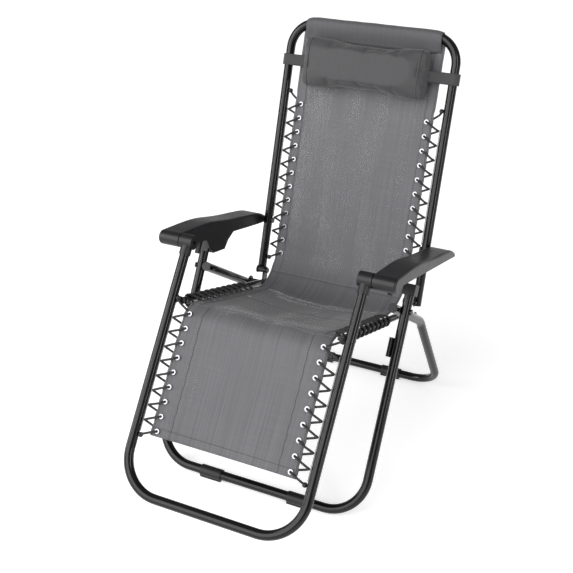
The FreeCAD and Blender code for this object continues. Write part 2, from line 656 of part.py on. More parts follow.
def arm_outline():
    """Side outline of the armrest as a face in the local YZ plane; up is local -Y."""
    roll = size("arm_roll_radius")
    end = ARM_LENGTH + size("arm_tail")

    def at(up, along):
        return Vector(0, -up, along)

    top = Part.BSplineCurve()
    top.interpolate([at(roll, 0), at(25, 70), at(29, 150), at(24, 250), at(22, 330), at(21, 400), at(16, 455),
                     at(4, end)])
    skirt = [at(-10, end - 8), at(-12, 420), at(-14, 280), at(-34, 252), at(-58, 236), at(-60, 172),
             at(-44, 150), at(-18, 128), at(-17, 60), at(-12, 17)]
    edges = [top.toShape(), Part.LineSegment(at(4, end), skirt[0]).toShape()]
    for start, stop in zip(skirt, skirt[1:]):
        edges.append(Part.LineSegment(start, stop).toShape())
    lower = Vector(0, 12, 17)
    reach = math.hypot(lower.y, lower.z)
    begin = Vector(0, lower.y * roll / reach, lower.z * roll / reach)
    edges.append(Part.LineSegment(lower, begin).toShape())
    edges.append(Part.Arc(begin, Vector(0, 0, -roll), at(roll, 0)).toShape())
    return Part.Face(Part.Wire(edges))


def build_armrests():
    """Plastic armrest channels with the steel lock rails, pins, screws and levers they carry."""
    depth = size("arm_out") - size("arm_in")
    face = arm_outline()
    face.translate(Vector(size("arm_in"), 0, 0))
    block = face.extrude(Vector(depth, 0, 0))
    fillet = size("arm_fillet")
    crown = [edge for edge in block.Edges
             if edge.BoundBox.ZLength > ARM_LENGTH and edge.BoundBox.YMin < -size("arm_roll_radius")]
    block = block.makeFillet(fillet, crown)
    channel_width = size("arm_channel_out") - size("arm_channel_in")
    start = size("arm_channel_from")
    channel = Part.makeBox(channel_width, size("arm_cut_depth"), ARM_LENGTH + size("arm_channel_past") - start,
                           Vector(size("arm_channel_in"), -size("arm_roof"), start))
    outer_cut = Part.makeBox(size("arm_out") - size("arm_channel_in"), size("arm_cut_depth"), ARM_LENGTH,
                             Vector(size("arm_channel_in"), size("arm_outer_drop"), start))
    relief = Part.makeCylinder(size("arm_roll_radius") + size("arm_roll_gap"), size("arm_roll_in") - size("arm_in"),
                               Vector(size("arm_in"), 0, 0), SIDEWAYS)
    pin_hole = Part.makeCylinder(size("arm_pin_radius"), size("arm_pin_out") - size("arm_in"),
                                 Vector(size("arm_in"), 0, 0), SIDEWAYS)
    bolt_hole = Part.makeCylinder(size("bolt_clearance"), size("arm_channel_in") - size("arm_in"),
                                  Vector(size("arm_in"), 0, ARM_LENGTH), SIDEWAYS)
    pin_start = size("arm_in") + size("lever_pin_wall")
    lever_hole = Part.makeCylinder(size("lever_pin_radius"), size("arm_channel_in") - pin_start,
                                   Vector(pin_start, size("lever_drop"), size("lever_along")), SIDEWAYS)
    nut_pocket = Part.makeCylinder(size("head_radius") + size("nut_gap"),
                                   size("arm_bolt_out") + size("nut_gap") - size("arm_channel_in"),
                                   Vector(size("arm_channel_in"), 0, ARM_LENGTH), SIDEWAYS)
    for tool in (channel, outer_cut, relief, pin_hole, bolt_hole, nut_pocket, lever_hole):
        block = block.cut(tool)
    left = shaped("left_armrest", block, ARM)
    mirrored("right_armrest", left)
    middle = (size("arm_channel_in") + size("arm_channel_out")) / 2
    rail = doc.addObject("Part::Box", "lock_rail_one")
    rail.setExpression("Length", "2 * sizes.lock_rail_half_width")
    rail.setExpression("Width", "sizes.lock_rail_thick")
    rail.setExpression("Height", "sizes.lock_rail_to - sizes.lock_rail_from")
    corner = Vector(middle - size("lock_rail_half_width"), -size("arm_roof"), size("lock_rail_from"))
    rail.Placement = ARM.multiply(Placement(corner, Rotation()))
    both_sides("lock_rails", rail)
    both_sides("armrest_pivot_pins", rod("armrest_pin_one", CALF_TOP, "arm_pin_in", "arm_pin_out",
                                         "arm_pin_radius"))
    screws = []
    for alias in ("screw_front", "screw_rear"):
        screw = doc.addObject("Part::Cylinder", alias)
        screw.setExpression("Radius", "sizes.screw_radius")
        screw.setExpression("Height", "sizes.screw_length")
        place = Vector(middle, -size("arm_roof"), size(alias))
        screw.Placement = ARM.multiply(Placement(place, Rotation(Vector(1, 0, 0), -90)))
        screws.append(screw)
    both_sides("armrest_screws", group_of("armrest_screw_pair", screws))
    build_levers()


def build_levers():
    """Lock levers that hang under the armrests, each on a short pin in the inner wall."""
    width = size("lever_out") - size("lever_in")
    hub_at = Vector(size("lever_in"), size("lever_drop"), size("lever_along"))
    hub = Part.makeCylinder(size("lever_hub_radius"), width, hub_at, SIDEWAYS)
    reach = size("lever_reach")
    radius = size("lever_hub_radius")
    low = size("lever_drop") + reach
    along = size("lever_along")
    tip = along - size("lever_lean")
    grip_radius = size("lever_grip_radius")
    grip = Part.makeCylinder(grip_radius, width, Vector(size("lever_in"), low, tip), SIDEWAYS)
    web = Part.Face(Part.makePolygon([
        Vector(size("lever_in"), size("lever_drop"), along - radius),
        Vector(size("lever_in"), size("lever_drop"), along + radius),
        Vector(size("lever_in"), low, tip + grip_radius),
        Vector(size("lever_in"), low, tip - grip_radius),
        Vector(size("lever_in"), size("lever_drop"), along - radius)])).extrude(Vector(width, 0, 0))
    lever = web.fuse([hub, grip])
    hole = Part.makeCylinder(size("lever_pin_radius") + size("lever_hole_gap"), width, hub_at, SIDEWAYS)
    left = shaped("lever_left", lever.cut(hole).removeSplitter(), ARM)
    mirrored("lever_right", left)
    pin = doc.addObject("Part::Cylinder", "lever_pin_one")
    pin.setExpression("Radius", "sizes.lever_pin_radius")
    pin.setExpression("Height", "sizes.lever_out - sizes.arm_in")
    start = Vector(size("arm_in") + size("lever_pin_wall"), size("lever_drop"), along)
    pin.Placement = ARM.multiply(Placement(start, ALONG_X))
    both_sides("lever_pins", pin)


# ---------------------------------------------------------------- pillow

def build_pillow():
    """The head pillow and the elastic bands that hold it on the back tubes."""
    half = size("pillow_half_width")
    height = size("pillow_height")
    thick = size("pillow_thick")
    middle = size("pillow_middle")
    gap = size("pillow_gap")
    rim = size("pillow_rim")
    corners = [Vector(0, -gap, middle - height / 2 + rim), Vector(0, -gap, middle + height / 2 - rim),
               Vector(0, -gap - thick / 2, middle + height / 2),
               Vector(0, -gap - thick, middle + height / 2 - 3 * rim),
               Vector(0, -gap - thick, middle - height / 2 + 3 * rim),
               Vector(0, -gap - thick / 2, middle - height / 2)]
    outline = Part.Face(Part.makePolygon(corners + corners[:1]))
    outline.translate(Vector(-half, 0, 0))
    shaped("pillow", outline.extrude(Vector(2 * half, 0, 0)), BACK)
    strap = size("strap_height")
    start = middle - strap / 2
    centre = size("frame_x")
    outer = size("strap_radius")
    inner = size("strap_bore")
    ring = Part.makeCylinder(outer, strap, Vector(centre, 0, start))
    band = Part.makeBox(centre - half, outer - inner, strap, Vector(half, -outer, start))
    bore = Part.makeCylinder(inner, strap, Vector(centre, 0, start))
    loop = ring.fuse(band).cut(bore).removeSplitter()
    shaped("pillow_straps", Part.makeCompound([loop, loop.mirror(MIDDLE, SIDEWAYS)]), BACK)


# ---------------------------------------------------------------- build, check and write

NODES = [
    "front_leg_frame", "front_foot_sleeves", "leg_pivot_bolts", "leg_pivot_washers", "leg_top_plugs",
    "lock_blocks", "seat_stop_posts", "stop_post_caps",
    "rear_leg_frame", "rear_foot_sleeves", "rear_leg_plugs", "rear_leg_brackets",
    "seat_pivot_bolts", "seat_pivot_spacers",
    "seat_rail_left", "seat_rail_right", "rail_end_caps", "seat_rear_tabs", "sling_seat", "seat_eyelets",
    "seat_lacing_left", "seat_lacing_right",
    "back_pivot_bolts", "back_pivot_spacers",
    "back_frame", "back_frame_plugs", "back_brackets", "sling_back", "back_eyelets",
    "back_lacing_left", "back_lacing_right", "back_lacing_wires",
    "footrest_pivot_bolts", "footrest_pivot_spacers",
    "footrest_frame", "footrest_brackets", "footrest_knuckles", "sling_calf", "calf_eyelets",
    "calf_lacing_left", "calf_lacing_right", "calf_lacing_wires",
    "armrest_pivot_bolts", "armrest_pivot_spacers",
    "left_armrest", "right_armrest", "lock_rails", "armrest_pivot_pins", "armrest_screws", "lever_pins",
    "lever_left", "lever_right", "pillow", "pillow_straps",
]


def check_document():
    """Stop if any object failed or any sub-part's shape is missing or invalid."""
    for item in doc.Objects:
        if "Invalid" in item.State or "Error" in item.State:
            raise RuntimeError("%s did not recompute: %s" % (item.Label, item.State))
    for name in NODES:
        shape = doc.getObjectsByLabel(name)[0].Shape
        if shape.isNull() or not shape.isValid() or shape.Volume <= 0:
            raise RuntimeError(name + " has no valid shape")


def write_parts():
    """One STEP file for each node."""
    os.makedirs("parts", exist_ok=True)
    for name in NODES:
        doc.getObjectsByLabel(name)[0].Shape.exportStep(os.path.join("parts", name + ".step"))


build_front_legs()
build_rear_legs()
build_seat_rails()
build_slings()
build_back()
build_footrest()
build_pivots()
build_armrests()
build_pillow()
doc.recompute()
check_document()
write_parts()
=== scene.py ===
import json
import math

import bmesh
import bpy
import numpy as np
from mathutils import Matrix, Vector, noise


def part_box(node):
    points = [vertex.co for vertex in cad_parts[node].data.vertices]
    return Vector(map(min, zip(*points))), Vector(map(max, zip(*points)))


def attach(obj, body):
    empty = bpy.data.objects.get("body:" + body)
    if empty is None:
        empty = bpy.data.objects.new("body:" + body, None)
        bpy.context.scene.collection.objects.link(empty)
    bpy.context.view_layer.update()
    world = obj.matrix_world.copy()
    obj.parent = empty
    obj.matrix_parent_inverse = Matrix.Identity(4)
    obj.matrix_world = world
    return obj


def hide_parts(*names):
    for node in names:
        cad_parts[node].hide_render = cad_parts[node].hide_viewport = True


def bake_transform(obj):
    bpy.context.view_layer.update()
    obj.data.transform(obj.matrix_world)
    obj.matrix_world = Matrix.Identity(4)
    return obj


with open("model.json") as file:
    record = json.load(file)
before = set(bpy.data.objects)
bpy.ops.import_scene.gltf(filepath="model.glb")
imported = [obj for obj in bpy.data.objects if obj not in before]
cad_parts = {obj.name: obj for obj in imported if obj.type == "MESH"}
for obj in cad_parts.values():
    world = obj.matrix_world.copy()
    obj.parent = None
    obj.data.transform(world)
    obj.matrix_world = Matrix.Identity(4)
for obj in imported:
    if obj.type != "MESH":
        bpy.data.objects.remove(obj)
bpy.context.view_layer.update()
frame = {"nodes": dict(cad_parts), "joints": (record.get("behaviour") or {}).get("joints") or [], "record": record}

# ---------------------------------------------------------------- sizes in metres

CLOTH_STEP = 0.007
CLOTH_THICK = 0.0012
LUMBAR_RADIUS = 0.11
KNEE_RADIUS = 0.062
HINGE_ZONE = 0.105
BACK_HALF = 0.209
SEAT_HALF = 0.199
CALF_HALF = 0.203
BACK_HEM = 0.029
CALF_HEM = 0.055
BOTTOM_HEM = 0.028
HEM_LIFT = 0.0016
CORD_RADIUS = 0.003
KNOT_RADIUS = 0.0062
FRAME_HOOK_X = 0.2272
SEAT_RAIL_X = 0.222
RAIL_WRAP = 0.0119
TUBE_RADIUS = 0.0125
BACK_BEND = 0.075
FRAME_X = 0.246
STRAP_THICK = 0.0014
SLEEVE_RADIUS = 0.0152
SLEEVE_DEPTH = 0.052
SLEEVE_REACH = 0.2
SEAM_HALF = 0.19
SEAM_STITCHES = 74
THREAD_RADIUS = 0.0005
SCALLOP_DEPTH = 0.0022
PILLOW_HALF_UP = 0.0705
PILLOW_HALF_OUT = 0.0275
PILLOW_FLAT_BACK = -0.0255
PILLOW_VOXEL = 0.0055
PILLOW_FRAMES = 20
PIPING_RADIUS = 0.0022
PIPING_POINTS = 40
BAND_HEIGHT = 0.031
FLOOR_SIZE = 30

JOINTS = {joint["name"]: joint for joint in frame["joints"]}


def pivot(name):
    """Where a hinge's axis crosses the middle plane."""
    place = Vector(JOINTS[name]["pos_m"])
    return Vector((0.0, place.y, place.z))


# ---------------------------------------------------------------- the three panel lines, from the eyelets

def solid_centres(node):
    """The middle of each separate solid of a CAD node."""
    work = bmesh.new()
    work.from_mesh(frame["nodes"][node].data)
    bmesh.ops.remove_doubles(work, verts=work.verts, dist=1e-5)
    left = set(work.verts)
    centres = []
    while left:
        front = [left.pop()]
        island = []
        while front:
            vertex = front.pop()
            island.append(vertex.co.copy())
            for edge in vertex.link_edges:
                other = edge.other_vert(vertex)
                if other in left:
                    left.remove(other)
                    front.append(other)
        low = Vector([min(place[axis] for place in island) for axis in range(3)])
        high = Vector([max(place[axis] for place in island) for axis in range(3)])
        centres.append((low + high) / 2)
    work.free()
    return centres


class Panel:
    """A straight stretch of the sling: its eyelets, direction along the tube and sitter's side."""

    def __init__(self, node, towards, sitter):
        self.eyelets = solid_centres(node)
        places = np.array([[place.y, place.z] for place in self.eyelets])
        middle = places.mean(0)
        along = np.linalg.svd(places - middle)[2][0]
        if along @ np.array(towards) < 0:
            along = -along
        self.origin = Vector((0.0, middle[0], middle[1]))
        self.along = Vector((0.0, along[0], along[1]))
        normal = Vector((0.0, -along[1], along[0]))
        self.normal = normal if normal.dot(Vector((0.0,) + tuple(sitter))) > 0 else -normal
        self.side_x = max(place.x for place in self.eyelets)
        self.marks = sorted((place - self.origin).dot(self.along) for place in self.eyelets if place.x > 0)
        self.pitch = self.marks[1] - self.marks[0]

    def at(self, x, lift, along):
        """A place from its distance sideways, above the cloth and along the tube."""
        return self.origin + self.along * along + self.normal * lift + Vector((x, 0.0, 0.0))

    def mark_of(self, place):
        """How far along the tube a place is."""
        return (Vector(place) - self.origin).dot(self.along)


# every direction runs from the head to the feet
BACK = Panel("back_eyelets", (0, -1), (-1, 0))
SEAT = Panel("seat_eyelets", (-1, 0), (0, 1))
CALF = Panel("calf_eyelets", (0, -1), (-1, 1))


def crossing(first, second):
    """Where two panel lines meet in the side view."""
    matrix = np.array([[first.along.y, -second.along.y], [first.along.z, -second.along.z]])
    offset = second.origin - first.origin
    run = np.linalg.solve(matrix, np.array([offset.y, offset.z]))[0]
    return first.origin + first.along * float(run)


LUMBAR_CORNER = crossing(BACK, SEAT)
KNEE_CORNER = crossing(SEAT, CALF)


class Profile:
    """The sling's side line from head to feet, as rows of places, sitter-side normals and distances."""

    def __init__(self):
        self.places = []
        self.normals = []
        self.distance = []
        top_mark = BACK.mark_of(self.bar_centre()) + TUBE_RADIUS
        foot_mark = CALF.mark_of(self.lower_edge())
        lumbar_reach = self.reach(BACK, SEAT, LUMBAR_RADIUS)
        knee_reach = self.reach(SEAT, CALF, KNEE_RADIUS)
        self.add_line(BACK, top_mark, BACK.mark_of(LUMBAR_CORNER) - lumbar_reach)
        self.add_bend(BACK, SEAT, LUMBAR_CORNER, LUMBAR_RADIUS)
        self.add_line(SEAT, SEAT.mark_of(LUMBAR_CORNER) + lumbar_reach,
                      SEAT.mark_of(KNEE_CORNER) - knee_reach)
        self.add_bend(SEAT, CALF, KNEE_CORNER, KNEE_RADIUS)
        self.add_line(CALF, CALF.mark_of(KNEE_CORNER) + knee_reach, foot_mark)
        self.length = self.distance[-1]

    @staticmethod
    def bar_centre():
        """The middle of the back frame's top bar."""
        low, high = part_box("back_frame")
        return Vector((0.0, high.y - TUBE_RADIUS, high.z - TUBE_RADIUS))

    @staticmethod
    def lower_edge():
        """The foot end of the calf panel."""
        low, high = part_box("sling_calf")
        return Vector((0.0, low.y, low.z))

    @staticmethod
    def reach(first, second, radius):
        """Length of each panel line that a bend takes up."""
        return radius * math.tan(first.along.angle(second.along) / 2)

    def add(self, place, normal):
        """One more row."""
        step = (place - self.places[-1]).length if self.places else 0.0
        if self.places and step < 1e-5:
            return
        self.places.append(place)
        self.normals.append(normal)
        self.distance.append(self.distance[-1] + step if self.distance else 0.0)

    def add_line(self, panel, start, end):
        """Straight rows along a panel."""
        count = max(2, round(abs(end - start) / CLOTH_STEP))
        for index in range(count + 1):
            self.add(panel.at(0, 0, start + (end - start) * index / count), panel.normal.copy())

    def add_bend(self, first, second, corner, radius):
        """Rows round a fillet between two panel lines."""
        turn = first.along.angle(second.along)
        inward = (second.along - first.along).normalized()
        centre = corner + inward * (radius / math.cos(turn / 2))
        start = corner - first.along * self.reach(first, second, radius) - centre
        side = 1.0 if first.normal.dot(inward) > 0 else -1.0
        count = max(6, round(radius * turn / CLOTH_STEP))
        axis = first.along.cross(second.along).normalized()
        for index in range(1, count):
            arm = Matrix.Rotation(turn * index / count, 3, axis) @ start
            self.add(centre + arm, arm.normalized() * -side)

    def nearest(self, place):
        """Index of the row nearest a place."""
        return min(range(len(self.places)), key=lambda index: (self.places[index] - place).length)

    def row_at(self, distance):
        """Index of the row at a distance along the line."""
        return int(np.searchsorted(self.distance, distance))


PROFILE = Profile()
LUMBAR_ROW = PROFILE.nearest(pivot("recline"))
KNEE_ROW = PROFILE.nearest(pivot("footrest_raise"))


# ---------------------------------------------------------------- node helpers

def new_material(name):
    """A material with its Principled shader and an empty tree round it."""
    material = bpy.data.materials.new(name)
    material.use_nodes = True
    shader = material.node_tree.nodes["Principled BSDF"]
    return material, material.node_tree, shader


def calc(tree, operation, first, second=None):
    """A math node; numbers go on its own sockets."""
    node = tree.nodes.new("ShaderNodeMath")
    node.operation = operation
    for socket, value in zip(node.inputs, (first, second)):
        if value is None:
            continue
        if isinstance(value, (int, float)):
            socket.default_value = value
        else:
            tree.links.new(value, socket)
    return node.outputs[0]


def noise_value(tree, vector, scale, detail=3.0, stretch=(1, 1, 1)):
    """A noise value from a vector, stretched along its axes."""
    mapping = tree.nodes.new("ShaderNodeMapping")
    mapping.inputs["Scale"].default_value = stretch
    tree.links.new(vector, mapping.inputs["Vector"])
    texture = tree.nodes.new("ShaderNodeTexNoise")
    texture.inputs["Scale"].default_value = scale
    texture.inputs["Detail"].default_value = detail
    tree.links.new(mapping.outputs[0], texture.inputs["Vector"])
    return texture.outputs["Fac"]


def ramp(tree, value, stops):
    """A colour ramp over a value; stops are (position, colour)."""
    node = tree.nodes.new("ShaderNodeValToRGB")
    node.color_ramp.elements[0].position = stops[0][0]
    node.color_ramp.elements[0].color = (*stops[0][1], 1)
    node.color_ramp.elements[1].position = stops[-1][0]
    node.color_ramp.elements[1].color = (*stops[-1][1], 1)
    for position, colour in stops[1:-1]:
        element = node.color_ramp.elements.new(position)
        element.color = (*colour, 1)
    tree.links.new(value, node.inputs[0])
    return node.outputs[0]


def spread(tree, value, low, high):
    """A value between 0 and 1 spread over another range."""
    node = tree.nodes.new("ShaderNodeMapRange")
    node.inputs["To Min"].default_value = low
    node.inputs["To Max"].default_value = high
    tree.links.new(value, node.inputs["Value"])
    return node.outputs[0]


def bump(tree, shader, height, strength, distance):
    """A bump from a height value."""
    node = tree.nodes.new("ShaderNodeBump")
    node.inputs["Strength"].default_value = strength
    node.inputs["Distance"].default_value = distance
    tree.links.new(height, node.inputs["Height"])
    tree.links.new(node.outputs[0], shader.inputs["Normal"])


def coordinates(tree, kind):
    """Object or UV coordinates; both are metres here."""
    return tree.nodes.new("ShaderNodeTexCoord").outputs[kind]


# ---------------------------------------------------------------- materials

def powder_coat():
    """Gloss black powder coat with orange peel and faint dulled patches."""
    material, tree, shader = new_material("black_powder_coat")
    place = coordinates(tree, "Object")
    dull = noise_value(tree, place, 22, 5)
    tree.links.new(ramp(tree, dull, [(0.35, (0.002, 0.002, 0.0022)), (0.7, (0.0045, 0.0045, 0.005))]),
                   shader.inputs["Base Color"])
    tree.links.new(spread(tree, noise_value(tree, place, 60, 6), 0.14, 0.26), shader.inputs["Roughness"])
    shader.inputs["Specular IOR Level"].default_value = 0.25
    shader.inputs["Coat Weight"].default_value = 0.12
    shader.inputs["Coat Roughness"].default_value = 0.06
    bump(tree, shader, noise_value(tree, place, 420, 2), 0.12, 0.0006)
    return material


def moulded_plastic(name, colour, roughness, grain):
    """Black moulded plastic with a fine spark-eroded grain."""
    material, tree, shader = new_material(name)
    place = coordinates(tree, "Object")
    dark = tuple(channel * 0.75 for channel in colour)
    tree.links.new(ramp(tree, noise_value(tree, place, 14, 4), [(0.3, dark), (0.75, colour)]),
                   shader.inputs["Base Color"])
    tree.links.new(spread(tree, noise_value(tree, place, 35, 5), roughness - 0.07, roughness + 0.08),
                   shader.inputs["Roughness"])
    shader.inputs["Specular IOR Level"].default_value = 0.35
    bump(tree, shader, noise_value(tree, place, 1300, 2), grain, 0.0004)
    return material


def plain_metal(name, colour, roughness):
    """Plated or blackened steel with fine scratches."""
    material, tree, shader = new_material(name)
    place = coordinates(tree, "Object")
    shader.inputs["Metallic"].default_value = 1.0
    dark = tuple(channel * 0.7 for channel in colour)
    tree.links.new(ramp(tree, noise_value(tree, place, 160, 4), [(0.3, dark), (0.7, colour)]),
                   shader.inputs["Base Color"])
    scratch = noise_value(tree, place, 300, 3, (1, 1, 8))
    tree.links.new(spread(tree, scratch, roughness - 0.08, roughness + 0.12), shader.inputs["Roughness"])
    return material


def yarn_height(tree, coordinate, pitch):
    """The rounded height of parallel yarns one pitch apart."""
    wave = calc(tree, "SINE", calc(tree, "MULTIPLY", coordinate, math.pi / pitch))
    return calc(tree, "ABSOLUTE", wave)


def mesh_cloth(name, light, dark, hole, pitch=0.0014):
    """Woven vinyl mesh on UVs in metres: crossing yarns, streaks along the warp and small open holes."""
    material, tree, shader = new_material(name)
    uv = coordinates(tree, "UV")
    split = tree.nodes.new("ShaderNodeSeparateXYZ")
    tree.links.new(uv, split.inputs[0])
    across = yarn_height(tree, split.outputs[0], pitch)
    down = yarn_height(tree, split.outputs[1], pitch)
    weave = calc(tree, "MAXIMUM", across, down)
    warp = noise_value(tree, uv, 1.0, 4, (260, 3, 1))
    weft = noise_value(tree, uv, 1.0, 4, (4, 300, 1))
    cloud = noise_value(tree, uv, 5.0, 3)
    streak = calc(tree, "ADD", calc(tree, "MULTIPLY", warp, 0.6), calc(tree, "MULTIPLY", weft, 0.2))
    tone = calc(tree, "ADD", streak, calc(tree, "MULTIPLY", cloud, 0.2))
    tree.links.new(ramp(tree, tone, [(0.36, dark), (0.64, light)]), shader.inputs["Base Color"])
    if hole > 0:
        solid = calc(tree, "GREATER_THAN", weave, hole)
        tree.links.new(solid, shader.inputs["Alpha"])
    shader.inputs["Roughness"].default_value = 0.62
    shader.inputs["Sheen Weight"].default_value = 0.18
    shader.inputs["Sheen Roughness"].default_value = 0.5
    bump(tree, shader, calc(tree, "MULTIPLY", weave, calc(tree, "ADD", warp, 0.5)), 0.35, 0.0006)
    return material


def braided_cord(name, colour):
    """Braided elastic: two families of strands crossing round the cord, on UVs (turns, metres), with painted shade
    in the grooves between the strands.
    """
    material, tree, shader = new_material(name)
    split = tree.nodes.new("ShaderNodeSeparateXYZ")
    tree.links.new(coordinates(tree, "UV"), split.inputs[0])
    round_it = calc(tree, "MULTIPLY", split.outputs[0], 2 * math.pi * 4)
    along = calc(tree, "MULTIPLY", split.outputs[1], 2 * math.pi / 0.0034)
    left = calc(tree, "SINE", calc(tree, "ADD", round_it, along))
    right = calc(tree, "SINE", calc(tree, "SUBTRACT", round_it, along))
    strands = calc(tree, "MAXIMUM", left, right)
    tone = spread(tree, strands, 0.0, 1.0)
    # painted shade: the colour falls to 0.4 of itself in the grooves between strands
    dark = tuple(channel * 0.4 for channel in colour)
    tree.links.new(ramp(tree, tone, [(0.0, dark), (1.0, colour)]), shader.inputs["Base Color"])
    shader.inputs["Roughness"].default_value = 0.6
    bump(tree, shader, strands, 0.5, 0.0004)
    return material


def webbing(name, colour, pitch=0.0022):
    """Flat woven elastic with fine ribs across it, on UVs in metres, with painted shade in the grooves between
    ribs.
    """
    material, tree, shader = new_material(name)
    split = tree.nodes.new("ShaderNodeSeparateXYZ")
    tree.links.new(coordinates(tree, "UV"), split.inputs[0])
    ribs = yarn_height(tree, split.outputs[1], pitch)
    yarns = yarn_height(tree, split.outputs[0], pitch)
    height = calc(tree, "MULTIPLY", ribs, calc(tree, "ADD", yarns, 0.6))
    # painted shade: the colour falls to 0.45 of itself where the ribs and yarns dip
    dark = tuple(channel * 0.45 for channel in colour)
    tree.links.new(ramp(tree, height, [(0.0, dark), (0.9, colour)]), shader.inputs["Base Color"])
    shader.inputs["Roughness"].default_value = 0.7
    shader.inputs["Sheen Weight"].default_value = 0.1
    bump(tree, shader, height, 0.5, 0.0005)
    return material


STEEL_BLACK = powder_coat()
PLASTIC = moulded_plastic("black_plastic", (0.008, 0.008, 0.009), 0.42, 0.25)
ARM_PLASTIC = moulded_plastic("armrest_plastic", (0.009, 0.009, 0.0105), 0.38, 0.2)
NYLON = moulded_plastic("black_nylon", (0.014, 0.014, 0.015), 0.5, 0.1)
BOLT_STEEL = plain_metal("blackened_bolts", (0.06, 0.06, 0.064), 0.38)
EYELET_STEEL = plain_metal("plated_eyelets", (0.36, 0.36, 0.38), 0.26)
WIRE_STEEL = plain_metal("hook_wire", (0.28, 0.28, 0.29), 0.35)
SLING = mesh_cloth("sling_mesh", (0.116, 0.116, 0.124), (0.076, 0.076, 0.081), 0.52)
HEM = mesh_cloth("sling_hem", (0.062, 0.062, 0.066), (0.042, 0.042, 0.045), 0.0)
PILLOW_CLOTH = mesh_cloth("pillow_mesh", (0.036, 0.036, 0.0385), (0.024, 0.024, 0.0258), 0.0)
THREAD = moulded_plastic("stitch_thread", (0.025, 0.025, 0.027), 0.6, 0.1)
CORD = braided_cord("braided_elastic", (0.014, 0.014, 0.015))
STRAP = webbing("strap_elastic", (0.03, 0.03, 0.032))

SLOT_MATERIALS = {
    "painted_steel": STEEL_BLACK, "black_plastic": PLASTIC, "nylon": NYLON, "lever_plastic": PLASTIC,
    "black_steel": BOLT_STEEL, "eyelet_steel": EYELET_STEEL, "wire_steel": WIRE_STEEL,
    "sling_mesh": SLING, "elastic_cord": CORD, "pillow_cloth": PILLOW_CLOTH, "strap_webbing": STRAP,
}


def dress_cad_nodes():
    """Give each carried-over CAD node its finish."""
    slots = {entry["node"]: entry["material_slot"] for entry in frame["record"]["subparts"]}
    for name, node in frame["nodes"].items():
        material = SLOT_MATERIALS[slots[name]]
        if name.endswith("armrest"):
            material = ARM_PLASTIC
        node.data.materials.clear()
        node.data.materials.append(material)


# ---------------------------------------------------------------- mesh helpers

def mesh_piece(name, verts, faces, uvs, material):
    """A smooth mesh object from arrays; uvs is one (u, v) per vertex."""
    mesh = bpy.data.meshes.new(name)
    mesh.from_pydata([tuple(place) for place in verts], [], faces)
    layer = mesh.uv_layers.new(name="UVMap")
    for loop in mesh.loops:
        layer.data[loop.index].uv = uvs[loop.vertex_index]
    mesh.materials.append(material)
    mesh.shade_smooth()
    piece = bpy.data.objects.new(name, mesh)
    bpy.context.scene.collection.objects.link(piece)
    return piece


def smooth_line(points, per_run):
    """A Catmull-Rom line through the points."""
    padded = [2 * points[0] - points[1]] + list(points) + [2 * points[-1] - points[-2]]
    line = []
    for before, start, end, after in zip(padded, padded[1:], padded[2:], padded[3:]):
        for step in range(per_run):
            along = step / per_run
            line.append(0.5 * ((2 * start) + (end - before) * along
                               + (2 * before - 5 * start + 4 * end - after) * along ** 2
                               + (3 * start - before - 3 * end + after) * along ** 3))
    line.append(points[-1])
    return line


def tube_arrays(line, radius, sides=10):
    """Vertices, faces and UVs (turns, metres) of a closed tube along a line."""
    verts, faces, uvs = [], [], []
    tangent = (line[1] - line[0]).normalized()
    across = tangent.orthogonal().normalized()
    distance = 0.0
    for index, place in enumerate(line):
        ahead = line[min(index + 1, len(line) - 1)] - line[max(index - 1, 0)]
        turned = ahead.normalized()
        across = (across - turned * across.dot(turned)).normalized()
        other = turned.cross(across)
        if index:
            distance += (place - line[index - 1]).length
        for side in range(sides):
            angle = 2 * math.pi * side / sides
            verts.append(place + (across * math.cos(angle) + other * math.sin(angle)) * radius)
            uvs.append((side / sides, distance))
    for ring in range(len(line) - 1):
        for side in range(sides):
            after = (side + 1) % sides
            faces.append((ring * sides + side, ring * sides + after,
                          (ring + 1) * sides + after, (ring + 1) * sides + side))
    faces.append(tuple(range(sides))[::-1])
    faces.append(tuple(range((len(line) - 1) * sides, len(line) * sides)))
    return verts, faces, uvs


def merged(parts):
    """Several (vertices, faces, uvs) sets as one."""
    verts, faces, uvs = [], [], []
    for part_verts, part_faces, part_uvs in parts:
        start = len(verts)
        verts.extend(part_verts)
        faces.extend(tuple(index + start for index in face) for face in part_faces)
        uvs.extend(part_uvs)
    return verts, faces, uvs


def solidify(piece, thickness):
    """Give a sheet its thickness about its own surface."""
    modifier = piece.modifiers.new("thickness", "SOLIDIFY")
    modifier.thickness = thickness
    modifier.offset = 0.0


# ---------------------------------------------------------------- sling surface

def ease(value, low, high):
    """A smooth step from 0 at low to 1 at high."""
    share = min(max((value - low) / (high - low), 0.0), 1.0)
    return share * share * (3 - 2 * share)


def half_width(row):
    """Half the sling's width at a row."""
    distance = PROFILE.distance[row]
    lumbar = PROFILE.distance[LUMBAR_ROW]
    knee = PROFILE.distance[KNEE_ROW]
    width = BACK_HALF + (SEAT_HALF - BACK_HALF) * ease(distance, lumbar - 0.08, lumbar + 0.08)
    return width + (CALF_HALF - SEAT_HALF) * ease(distance, knee - 0.06, knee + 0.06)


def scallop(row, panel):
    """How far the edge draws in between eyelets at a row of a panel."""
    mark = panel.mark_of(PROFILE.places[row])
    if not panel.marks[0] - panel.pitch < mark < panel.marks[-1] + panel.pitch:
        return 0.0
    phase = (mark - panel.marks[0]) / panel.pitch
    return SCALLOP_DEPTH * (0.5 - 0.5 * math.cos(2 * math.pi * phase))


def panel_of_row(row):
    """The panel that a row belongs to."""
    if row < LUMBAR_ROW:
        return BACK
    return SEAT if row < KNEE_ROW else CALF


